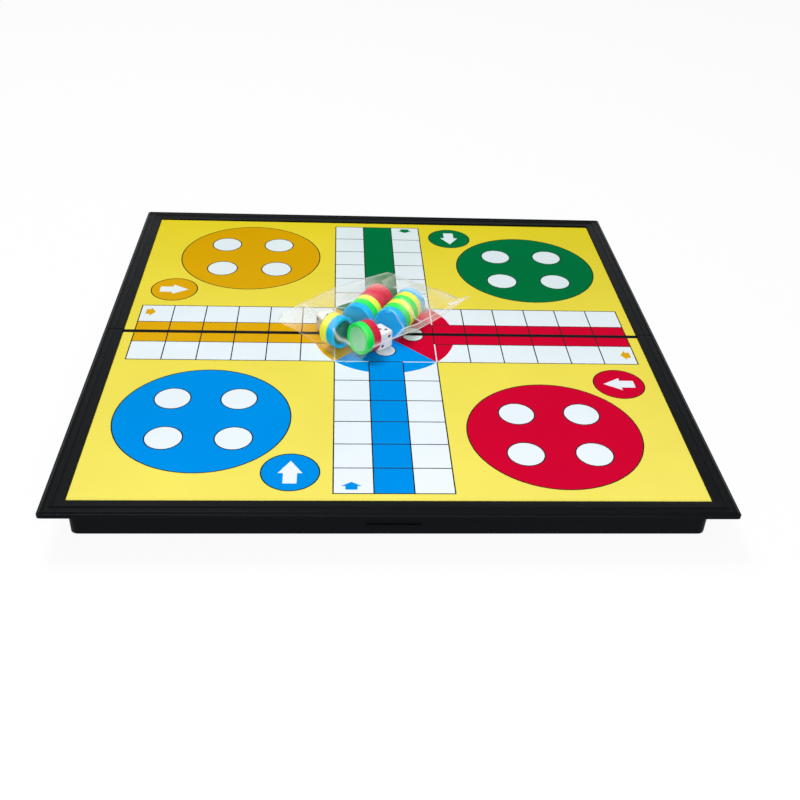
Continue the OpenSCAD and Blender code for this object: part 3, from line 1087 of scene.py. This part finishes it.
@dataclass
class FilmBag:
    """Clear film bag over the heap: the upper film hangs from the counters to the bag's edge.

    The lower film lies on the board and rises to the edge where that stands up.

    Attributes:
        face_z: Height of the printed face in metres.
        cell: Spacing of the height grid in millimetres.
        span: Lowest and highest x and y of the height grid in millimetres.
        middle: Point that the mesh is spread out from, in millimetres.
        rounds: Steps in which a film settles.
        around: Mesh points along the edge.
        rings: Mesh rings of the upper film.
        under_rings: Mesh rings of the lower film.
        gap: How far the film stays off what it lies on, in millimetres.
        floor_gap: Height of the lower film over the printed face, in millimetres.
        sag: How far its weight pulls the lower film down at each step, in millimetres.
        rim: Edge of the bag: x, y and height over the printed face, in millimetres.
        ridges: Lines that hold the upper film up, as start and end points in millimetres.
        least: Share of veil where the film is clearest.
        most: Share of veil where the film is whitest.
        patches: Milky patches, partly the film's own haze and partly painted reflection of the light: middle
            x and y, width and depth in millimetres, and strength.
        crease_highlights: Painted highlights along creased lines, one of them a painted glint near the right
            tip: strength and half width in millimetres, and then the line's points.
        seal: Line of the sealed edge, from its wide end to its narrow end.
        seal_widths: Share of the seal's length, and its width there in millimetres.
        seal_veil: Share of veil across the seal.
        seal_edge: Share of veil along its borders.
    """

    face_z: float = 0.021
    cell: float = 0.5
    span: tuple[float, float, float, float] = (-70.0, -44.0, 60.0, 74.0)
    middle: tuple[float, float] = (-7.0, 6.0)
    rounds: int = 1600
    around: int = 420
    rings: int = 120
    under_rings: int = 36
    gap: float = 0.3
    floor_gap: float = 0.35
    sag: float = 0.004
    rim: tuple[tuple[float, float, float], ...] = (
        (-62.5, 11.6, 1.0),
        (-59.2, 15.9, 4.0),
        (-48.1, 21.1, 8.0),
        (-28.8, 45.3, 6.0),
        (-10.1, 57.7, 6.0),
        (3.9, 66.3, 6.0),
        (8.9, 63.8, 6.0),
        (22.4, 48.4, 8.0),
        (34.7, 34.2, 11.0),
        (43.8, 17.2, 15.0),
        (50.4, 14.4, 18.0),
        (31.9, -2.1, 13.0),
        (19.8, -13.2, 12.0),
        (8.3, -20.6, 11.5),
        (0.8, -25.5, 11.0),
        (-7.7, -29.5, 8.5),
        (-14.4, -35.0, 3.0),
        (-22.0, -33.0, 0.8),
        (-30.0, -25.0, 0.6),
        (-41.0, -11.0, 0.6),
        (-52.0, 3.0, 0.6),
    )
    ridges: tuple[tuple[tuple[float, float, float], tuple[float, float, float]], ...] = (
        ((-48.1, 21.1, 8.0), (-37.0, 3.5, 12.0)),
        ((8.9, 63.8, 6.0), (6.0, 34.0, 21.0)),
    )
    least: float = 0.01
    most: float = 0.97
    # Milky patches: partly the film's haze, partly painted reflection where the film faces the light.
    patches: tuple[tuple[float, float, float, float, float], ...] = (
        (-52.0, 12.0, 13.0, 10.0, 0.48),
        (-30.0, 30.0, 18.0, 13.0, 0.30),
        (-8.0, 46.0, 14.0, 11.0, 0.26),
        (0.0, 62.0, 13.0, 9.0, 0.42),
        (2.0, 38.0, 10.0, 8.0, 0.36),
        (-4.0, 25.0, 9.0, 6.0, 0.52),
        (-11.0, 9.0, 5.0, 4.5, 0.30),
        (11.5, 1.0, 3.5, 7.0, 0.32),
        (22.0, 38.0, 12.0, 14.0, 0.18),
        (40.0, 20.0, 10.0, 9.0, 0.36),
        (24.0, 4.0, 7.0, 9.0, 0.42),
        (-31.5, -17.0, 3.5, 6.0, 0.28),
        (-16.0, -30.0, 6.0, 3.5, 0.28),
    )
    # Painted highlights along creased lines in the film; the fifth is a painted glint near the bag's right
    # tip.
    crease_highlights: tuple[tuple[tuple[float, float], ...], ...] = (
        ((0.9, 0.5), (-58.8, 15.8), (-47.7, 20.4), (-36.2, -2.5)),
        ((0.85, 0.45), (9.5, 7.9), (17.2, -7.2), (20.4, -8.2)),
        ((0.5, 0.35), (2.4, -5.2), (5.3, -8.6), (10.7, -16.1)),
        ((0.7, 0.45), (-29.4, -23.2), (-22.5, -25.8), (-20.1, -28.1)),
        ((0.95, 1.5), (38.5, 9.5), (45.5, 12.5)),
        ((0.6, 2.3), (7.3, 22.6), (23.8, 13.7)),
    )
    seal: tuple[tuple[float, float], ...] = (
        (50.4, 14.4),
        (31.9, -2.1),
        (19.8, -13.2),
        (8.3, -20.6),
        (0.8, -25.5),
        (-7.7, -29.5),
    )
    seal_widths: tuple[tuple[float, float], ...] = ((0.0, 0.8), (0.3, 3.2), (0.7, 2.8), (0.8, 0.0))
    seal_veil: float = 0.25
    seal_edge: float = 0.85

    def grid(self) -> tuple[Floats, Floats]:
        """Gives the x and the y of every point of the height grid."""
        x = np.arange(self.span[0], self.span[2] + self.cell / 2, self.cell)
        y = np.arange(self.span[1], self.span[3] + self.cell / 2, self.cell)
        return np.meshgrid(x, y, indexing="ij")

    def edge(self, count: int) -> Floats:
        """Walks round the rim in equal steps.

        Args:
            count: Number of points.

        Returns:
            Points on the rim, in millimetres.
        """
        rim = np.array([*self.rim, self.rim[0]])
        steps = np.hypot(*np.diff(rim[:, :2], axis=0).T)
        along = np.concatenate([[0.0], np.cumsum(steps)])
        at = np.linspace(0, along[-1], count, endpoint=False)
        nearest = np.abs(at[:, None] - along[None, :-1]).argmin(axis=0)
        at[nearest] = along[:-1]
        return np.stack([np.interp(at, along, rim[:, i]) for i in range(3)], axis=1)

    def heap(self) -> tuple[Floats, Floats]:
        """Finds how high and how low the heap reaches at each point of the grid.

        Every triangle of the counters and dice is sampled, and each cell keeps its highest and
        lowest sample.

        Returns:
            Height of the heap's top and of its underside, in millimetres over the printed face.
        """
        x, y = self.grid()
        top, under = np.full(x.shape, -1e3), np.full(x.shape, 1e3)
        share = np.linspace(0, 1, 24)
        u, v = (part.ravel() for part in np.meshgrid(share, share))
        fits = u + v <= 1.0001
        weights = np.stack([1 - u - v, u, v], axis=1)[fits]
        for node in ("counters_red", "counters_yellow", "counters_green", "counters_blue", "dice"):
            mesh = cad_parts[node].data
            mesh.calc_loop_triangles()
            spots = np.empty(len(mesh.vertices) * 3)
            mesh.vertices.foreach_get("co", spots)
            corners = np.empty(len(mesh.loop_triangles) * 3, np.int64)
            mesh.loop_triangles.foreach_get("vertices", corners)
            triangles = spots.reshape(-1, 3)[corners.reshape(-1, 3)] / MM
            samples = np.einsum("kc,tcd->tkd", weights, triangles).reshape(-1, 3)
            column = np.rint((samples[:, 0] - self.span[0]) / self.cell).astype(int)
            row = np.rint((samples[:, 1] - self.span[1]) / self.cell).astype(int)
            height = samples[:, 2] - self.face_z / MM
            np.maximum.at(top, (column, row), height)
            np.minimum.at(under, (column, row), height)
        return top, under

    def rim_field(self, x: Floats, y: Floats) -> Floats:
        """Gives the height of the nearest rim point at each given point."""
        edge = self.edge(self.around)
        gaps = (x.ravel()[:, None] - edge[None, :, 0]) ** 2 + (y.ravel()[:, None] - edge[None, :, 1]) ** 2
        return edge[gaps.argmin(axis=1), 2].reshape(x.shape)

    def lines(self, x: Floats, y: Floats) -> Floats:
        """Gives the height of the ridge lines where they pass, and a depth elsewhere."""
        height = np.full(x.shape, -1e3)
        for start, end in self.ridges:
            a, b = np.array(start), np.array(end)
            way = b - a
            share = ((x - a[0]) * way[0] + (y - a[1]) * way[1]) / (way[0] ** 2 + way[1] ** 2)
            share = np.clip(share, 0, 1)
            off = np.hypot(x - a[0] - share * way[0], y - a[1] - share * way[1])
            height = np.where(off < self.cell, np.maximum(height, a[2] + share * way[2]), height)
        return height

    def settle(
        self, start: Floats, low: Floats, high: Floats, fixed: NDArray[np.bool_], pull: float
    ) -> Floats:
        """Settles a film: each point goes to the mean of its four neighbours, within its limits.

        Args:
            start: Heights to start from.
            low: Lowest height at each point.
            high: Highest height at each point.
            fixed: Points that stay.
            pull: How far gravity pulls a point down at each step, in millimetres.

        Returns:
            The settled heights.
        """
        film = start.copy()
        for _ in range(self.rounds):
            mean = film.copy()
            mean[1:-1, 1:-1] = (
                film[2:, 1:-1] + film[:-2, 1:-1] + film[1:-1, 2:] + film[1:-1, :-2]
            ) / 4 - pull
            film = np.where(fixed, start, np.clip(mean, low, high))
        return film

    def heights(self) -> tuple[Floats, Floats]:
        """Settles the upper film over the heap and the lower film under it."""
        x, y = self.grid()
        ring = self.edge(self.around)[:, :2]
        inside = inside_polygon(ring, np.stack([x.ravel(), y.ravel()], axis=1)).reshape(x.shape)
        border = self.rim_field(x, y)
        top, under = self.heap()
        floor = np.full(x.shape, self.floor_gap)
        low = np.maximum(np.maximum(top + self.gap, self.lines(x, y)), floor + 0.1)
        upper = self.settle(np.maximum(border, low), low, np.full(x.shape, 1e3), ~inside, 0.0)
        ceiling = np.where(under < 1e2, np.maximum(under - self.gap / 2, self.floor_gap), 1e3)
        lower = self.settle(np.where(inside, floor, border), floor, ceiling, ~inside, self.sag)
        return upper, np.minimum(lower, upper - 0.1)

    def sample(self, field_mm: Floats, x: Floats, y: Floats) -> Floats:
        """Reads a height grid between its points, by the share of each of the four around."""
        column = np.clip((x - self.span[0]) / self.cell, 0, field_mm.shape[0] - 1.001)
        row = np.clip((y - self.span[1]) / self.cell, 0, field_mm.shape[1] - 1.001)
        i, j = column.astype(int), row.astype(int)
        u, v = column - i, row - j
        return (
            field_mm[i, j] * (1 - u) * (1 - v)
            + field_mm[i + 1, j] * u * (1 - v)
            + field_mm[i, j + 1] * (1 - u) * v
            + field_mm[i + 1, j + 1] * u * v
        )

    def film(self, heights: Floats, rings: int) -> Floats:
        """Spreads one film out from the middle to the rim.

        A point lies at a share of the way from the middle to its rim point, and takes its height
        from the grid, blended into the rim's own height over the last few rings.

        Args:
            heights: Settled heights.
            rings: Number of rings between the middle and the rim.

        Returns:
            Points of the inner rings, without the rim, in millimetres.
        """
        edge = self.edge(self.around)
        share = (np.arange(1, rings) / rings)[:, None]
        x = self.middle[0] + (edge[:, 0] - self.middle[0]) * share
        y = self.middle[1] + (edge[:, 1] - self.middle[1]) * share
        z = self.sample(heights, x, y)
        blend = np.clip((share - 0.97) / 0.03, 0, 1)
        z = z * (1 - blend) + edge[:, 2] * blend
        return np.stack([x, y, z], axis=-1).reshape(-1, 3)

    def veil(self, points: Floats) -> tuple[Floats, Floats]:
        """Gives how milky the upper film is at each point, painted reflection and painted highlights
        included, and which part of that is bright.

        Milky patches, partly painted reflection, are bell curves about their middles. The painted highlight
        along a creased line is a narrow bell curve across its line. The seal is a band along the edge,
        brighter at its two borders.

        Args:
            points: Points of the film in millimetres.

        Returns:
            The share of veil, and the share of it that is bright: painted highlights and the seal.
        """
        x, y = points[:, 0], points[:, 1]
        share = np.full(len(points), self.least)
        # Each patch is partly painted reflection of the light on the film.
        for at_x, at_y, wide, deep, strength in self.patches:
            share += strength * np.exp(-(((x - at_x) / wide) ** 2) - ((y - at_y) / deep) ** 2)
        white = np.zeros(len(points))
        # Each line adds a painted highlight across it.
        for line in self.crease_highlights:
            off, _ = self.beside(np.array(line[1:]), x, y)
            white = np.maximum(white, line[0][0] * np.exp(-((off / line[0][1]) ** 2)))
        off, along = self.beside(np.array(self.seal), x, y)
        at, widths = np.array(self.seal_widths).T
        wide = np.interp(along, at, widths)
        band = np.where(off < wide, self.seal_veil, 0.0)
        border = np.maximum(np.exp(-((off / 0.45) ** 2)), np.exp(-(((off - wide) / 0.35) ** 2)))
        near = (along > 0.001) & (along < 0.999)
        white = np.maximum(white, np.where(near, np.maximum(band, self.seal_edge * border), 0.0))
        return np.clip(np.maximum(share, white), 0, self.most), np.clip(white, 0, 1)

    @staticmethod
    def beside(line: Floats, x: Floats, y: Floats) -> tuple[Floats, Floats]:
        """Gives each point's distance from a line of straight pieces, and how far along it that is.

        Args:
            line: Points of the line in millimetres.
            x: Points' x in millimetres.
            y: Points' y in millimetres.

        Returns:
            The distances in millimetres, and the shares of the line's length.
        """
        steps = np.hypot(*np.diff(line[:, :2], axis=0).T)
        passed = np.concatenate([[0.0], np.cumsum(steps)]) / steps.sum()
        best, where = np.full(len(x), 1e3), np.zeros(len(x))
        for i, step in enumerate(steps):
            way = line[i + 1, :2] - line[i, :2]
            part = np.clip(((x - line[i, 0]) * way[0] + (y - line[i, 1]) * way[1]) / step**2, 0, 1)
            off = np.hypot(x - line[i, 0] - part * way[0], y - line[i, 1] - part * way[1])
            closer = off < best
            best = np.where(closer, off, best)
            where = np.where(closer, passed[i] + part * (passed[i + 1] - passed[i]), where)
        return best, where

    def build(self) -> bpy.types.Object:
        """Builds the bag as one closed thin shell, in place of the CAD bag."""
        upper, lower = self.heights()
        edge = self.edge(self.around)
        over, below = self.film(upper, self.rings), self.film(lower, self.under_rings)
        centre = np.array([[*self.middle, 0.0]] * 2)
        centre[0, 2] = self.sample(upper, centre[:1, 0], centre[:1, 1])[0]
        centre[1, 2] = self.sample(lower, centre[:1, 0], centre[:1, 1])[0]
        points = np.vstack([edge, over, below, centre])
        n = self.around
        first, second = n, n + len(over)
        faces = [
            *self.weave(first, self.rings, len(points) - 2, False),
            *self.weave(second, self.under_rings, len(points) - 1, True),
        ]
        rim_veil, rim_white = self.veil(edge)
        over_veil, over_white = self.veil(over)
        under = np.full(len(below), self.least)
        veil = np.concatenate([np.maximum(rim_veil, 0.25), over_veil, under, [0.0, 0.0]])
        white = np.concatenate([np.maximum(rim_white, 0.3), over_white, 0 * under, [0.0, 0.0]])
        place = points * MM
        place[:, 2] += self.face_z
        made = new_mesh("film_bag", place, faces, [FilmFinish("clear_film").material()], None, True)
        shine = np.full(len(points), 0.1)
        shine[:n] = 0.5
        shine[[*range(first, second), len(points) - 2]] = 1.0
        made.visible_shadow = False
        for name, values in (("veil", veil), ("white", white), ("shine", shine)):
            layer = made.data.attributes.new(name, "FLOAT", "POINT")
            layer.data.foreach_set("value", values.astype(np.float32))
        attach(made, "pieces")
        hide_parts("piece_bag")
        return made

    def weave(self, first: int, rings: int, hub: int, turned: bool) -> list[list[int]]:
        """Joins the rings of one film, from the hub to the rim.

        Args:
            first: Number of the first point of the film's inner rings.
            rings: Number of rings.
            hub: Number of the point in the middle.
            turned: Whether the film faces down.

        Returns:
            The faces.
        """
        n = self.around
        rows = np.vstack([first + np.arange((rings - 1) * n).reshape(rings - 1, n), np.arange(n)])
        after = np.roll(rows, -1, axis=1)
        quads = np.stack([rows[:-1], rows[1:], after[1:], after[:-1]], axis=-1).reshape(-1, 4)
        fan = np.stack([np.full(n, hub), rows[0], after[0]], axis=-1)
        faces = [*quads.tolist(), *fan.tolist()]
        return [face if turned else face[::-1] for face in faces]


def merge(piece: bpy.types.Object, gap: float) -> None:
    """Joins vertices that lie together and points every face outwards."""
    work = bmesh.new()
    work.from_mesh(piece.data)
    bmesh.ops.remove_doubles(work, verts=work.verts[:], dist=gap)
    bmesh.ops.recalc_face_normals(work, faces=work.faces[:])
    work.to_mesh(piece.data)
    work.free()
    piece.data.update()


def main() -> None:
    """Builds the studio and every piece in order."""
    logging.basicConfig(level=logging.INFO, format="%(name)s: %(message)s")
    Studio().build()
    Mouldings().dress()
    Counters().dress()
    layout = LudoPrint()
    inks = [INK_FINISHES[ink].material() for ink in Ink]
    for node, body, side in (
        ("front_printed_sheet", "front_half", -1),
        ("rear_printed_sheet", "rear_half", 1),
    ):
        made = PrintedSheet(node, body, layout, side).build(inks)
        LOG.info("%s: %d faces", made.name, len(made.data.polygons))
    dice = Dice().build()
    LOG.info("%s: %d faces", dice.name, len(dice.data.polygons))
    bag = FilmBag().build()
    LOG.info("%s: %d faces", bag.name, len(bag.data.polygons))


if __name__ == "__main__":
    main()
